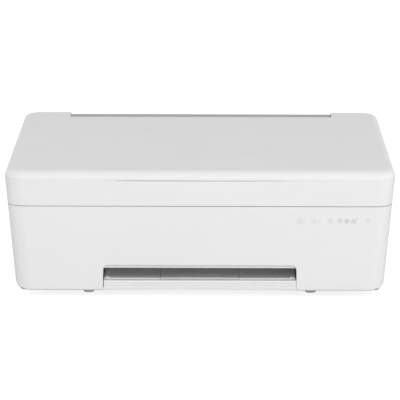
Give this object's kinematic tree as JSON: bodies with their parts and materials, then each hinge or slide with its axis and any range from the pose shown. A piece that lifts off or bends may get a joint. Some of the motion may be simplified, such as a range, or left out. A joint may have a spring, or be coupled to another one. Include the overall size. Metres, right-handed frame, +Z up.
{
  "type": "inkjet multifunction printer",
  "caption": "Low white inkjet printer and scanner with a hinged lid, a lifting scanner unit, a paper drawer and a wide front output slot.",
  "frame": {"origin": "bottom centre of the whole printer, on the plane its feet stand on", "axes": "+X to the viewer's right, the front with the output slot faces -Y, +Z up"},
  "size_m": [0.44, 0.3536, 0.147],
  "materials": {
    "white_shell": "satin white",
    "white_inner": "matte white",
    "strip_grey": "fine matte grey",
    "floor_grey": "fine matte light grey",
    "symbol_grey": "smooth",
    "dark_plastic": "fine matte",
    "mid_plastic": "fine matte",
    "pad_white": "closed foam with a smooth white face",
    "clear_glass": "clear",
    "steel": "bare sheet",
    "bright_steel": "ground",
    "rubber_black": "matte",
    "rubber_grey": "matte",
    "foot_grey": "matte pale grey",
    "board_green": "coated board",
    "cartridge_black": "matte",
    "cartridge_colour": "matte",
    "gear_natural": "natural acetal",
    "belt_black": "toothed belt",
    "strip_clear": "fine lines"
  },
  "bodies": {
    "lower_body": {"lower_case": "white_shell", "touch_icons": "symbol_grey", "rear_panel": "white_shell", "base_pan": "mid_plastic", "rubber_feet": "foot_grey", "case_screws": "bright_steel", "inner_deck": "mid_plastic", "output_liner": "white_inner", "side_frames": "steel", "platen": "dark_plastic", "turn_guide": "dark_plastic", "chassis_beam": "steel", "carriage_rod": "bright_steel", "encoder_strip": "strip_clear", "drive_belt": "belt_black", "carriage_motor": "steel", "feed_motor": "steel", "service_station": "mid_plastic", "main_board": "board_green", "usb_socket": "bright_steel", "power_supply": "mid_plastic", "power_inlet": "cartridge_black", "control_board": "board_green", "pick_shaft": "bright_steel"},
    "scanner_unit": {"scanner_case": "white_shell", "hinge_housing": "white_shell", "scanner_bezel": "white_inner", "scanner_glass": "clear_glass", "scan_rod": "bright_steel", "cover_stay": "steel"},
    "lid": {"lid_cover": "white_shell", "lid_liner": "white_inner", "backing_pad": "pad_white", "hinge_bar": "strip_grey"},
    "scan_head": {"scan_head": "dark_plastic"},
    "carriage": {"carriage": "dark_plastic", "black_cartridge": "cartridge_black", "colour_cartridge": "cartridge_colour"},
    "motor_pulley": {"motor_pulley": "bright_steel"},
    "idler_pulley": {"idler_pulley": "gear_natural"},
    "feed_roller": {"feed_roller": "rubber_black", "feed_gear": "gear_natural"},
    "motor_pinion": {"motor_pinion": "gear_natural"},
    "idler_gear": {"idler_gear": "gear_natural"},
    "output_roller": {"output_roller": "rubber_grey", "output_gear": "gear_natural"},
    "pinch_rollers": {"pinch_rollers": "gear_natural"},
    "star_wheels": {"star_wheels": "bright_steel"},
    "pick_arm": {"pick_arm": "dark_plastic"},
    "pick_roller": {"pick_roller": "rubber_grey"},
    "power_button": {"power_button": "strip_grey"},
    "wireless_button": {"wireless_button": "strip_grey"},
    "drawer": {"drawer_front": "white_shell", "drawer_base": "mid_plastic", "drawer_cover": "floor_grey"},
    "left_guide": {"left_guide": "mid_plastic"},
    "right_guide": {"right_guide": "mid_plastic"},
    "guide_pinion": {"guide_pinion": "gear_natural"},
    "output_extender": {"output_extender": "floor_grey"},
    "paper_stop": {"paper_stop": "floor_grey"}
  },
  "joints": [
    {"name": "scanner_unit_hinge", "type": "hinge", "parent": "lower_body", "child": "scanner_unit", "pos_m": [0, 0.1685, 0.1066], "axis": [-1, 0, 0], "range_deg": [0, 45]},
    {"name": "lid_hinge", "type": "hinge", "parent": "scanner_unit", "child": "lid", "pos_m": [0, 0.1535, 0.133], "axis": [-1, 0, 0], "range_deg": [0, 85]},
    {"name": "scan_head_slide", "type": "slide", "parent": "scanner_unit", "child": "scan_head", "axis": [1, 0, 0], "range_m": [0, 0.33]},
    {"name": "carriage_slide", "type": "slide", "parent": "lower_body", "child": "carriage", "axis": [1, 0, 0], "range_m": [-0.26, 0]},
    {"name": "motor_pulley_spin", "type": "hinge", "parent": "lower_body", "child": "motor_pulley", "pos_m": [-0.193, 0.116, 0.085], "axis": [0, 1, 0], "continuous": true},
    {"name": "idler_pulley_spin", "type": "hinge", "parent": "lower_body", "child": "idler_pulley", "pos_m": [0.193, 0.116, 0.085], "axis": [0, 1, 0], "continuous": true},
    {"name": "feed_spin", "type": "hinge", "parent": "lower_body", "child": "feed_roller", "pos_m": [0, 0.096, 0.0338], "axis": [1, 0, 0], "continuous": true},
    {"name": "motor_pinion_spin", "type": "hinge", "parent": "lower_body", "child": "motor_pinion", "pos_m": [-0.13, 0.117, 0.0338], "axis": [1, 0, 0], "continuous": true},
    {"name": "idler_gear_spin", "type": "hinge", "parent": "lower_body", "child": "idler_gear", "pos_m": [-0.13, 0.071, 0.0338], "axis": [1, 0, 0], "continuous": true},
    {"name": "output_spin", "type": "hinge", "parent": "lower_body", "child": "output_roller", "pos_m": [0, 0.046, 0.0338], "axis": [1, 0, 0], "continuous": true},
    {"name": "pinch_spin", "type": "hinge", "parent": "lower_body", "child": "pinch_rollers", "pos_m": [0, 0.097, 0.0434], "axis": [1, 0, 0], "continuous": true},
    {"name": "star_spin", "type": "hinge", "parent": "lower_body", "child": "star_wheels", "pos_m": [0, 0.046, 0.0432], "axis": [1, 0, 0], "continuous": true},
    {"name": "pick_arm_lift", "type": "hinge", "parent": "lower_body", "child": "pick_arm", "pos_m": [0, 0.072, 0.024], "axis": [1, 0, 0], "range_deg": [0, 5]},
    {"name": "pick_spin", "type": "hinge", "parent": "pick_arm", "child": "pick_roller", "pos_m": [0, 0.121, 0.0195], "axis": [1, 0, 0], "continuous": true},
    {"name": "power_button_press", "type": "slide", "parent": "lower_body", "child": "power_button", "axis": [0, -1, 0], "range_m": [0, 0.0012], "stiffness_N_per_m": 500},
    {"name": "wireless_button_press", "type": "slide", "parent": "lower_body", "child": "wireless_button", "axis": [0, -1, 0], "range_m": [0, 0.0012], "stiffness_N_per_m": 500},
    {"name": "drawer_slide", "type": "slide", "parent": "lower_body", "child": "drawer", "axis": [0, -1, 0], "range_m": [0, 0.19]},
    {"name": "left_guide_slide", "type": "slide", "parent": "drawer", "child": "left_guide", "axis": [1, 0, 0], "range_m": [0, 0.055]},
    {"name": "right_guide_slide", "type": "slide", "parent": "drawer", "child": "right_guide", "axis": [-1, 0, 0], "range_m": [0, 0.055]},
    {"name": "guide_pinion_spin", "type": "hinge", "parent": "drawer", "child": "guide_pinion", "pos_m": [0, 0.065, 0.0118], "axis": [0, 0, 1], "continuous": true},
    {"name": "extender_slide", "type": "slide", "parent": "drawer", "child": "output_extender", "axis": [0, -1, 0], "range_m": [0, 0.11]},
    {"name": "paper_stop_flip", "type": "hinge", "parent": "output_extender", "child": "paper_stop", "pos_m": [0, -0.16317, 0.02075], "axis": [1, 0, 0], "range_deg": [0, 85]}
  ],
  "couplings": [
    {"joint": "motor_pulley_spin", "follows": "carriage_slide", "rad_per_m": -206.19},
    {"joint": "idler_pulley_spin", "follows": "carriage_slide", "rad_per_m": -206.19},
    {"joint": "motor_pinion_spin", "follows": "feed_spin", "ratio": -2.5},
    {"joint": "idler_gear_spin", "follows": "feed_spin", "ratio": -1.5},
    {"joint": "output_spin", "follows": "feed_spin", "ratio": 1},
    {"joint": "pinch_spin", "follows": "feed_spin", "ratio": -1.7143},
    {"joint": "star_spin", "follows": "feed_spin", "ratio": -1.4474},
    {"joint": "pick_spin", "follows": "feed_spin", "ratio": 0.92308},
    {"joint": "right_guide_slide", "follows": "left_guide_slide", "ratio": 1},
    {"joint": "guide_pinion_spin", "follows": "left_guide_slide", "rad_per_m": 200}
  ]
}
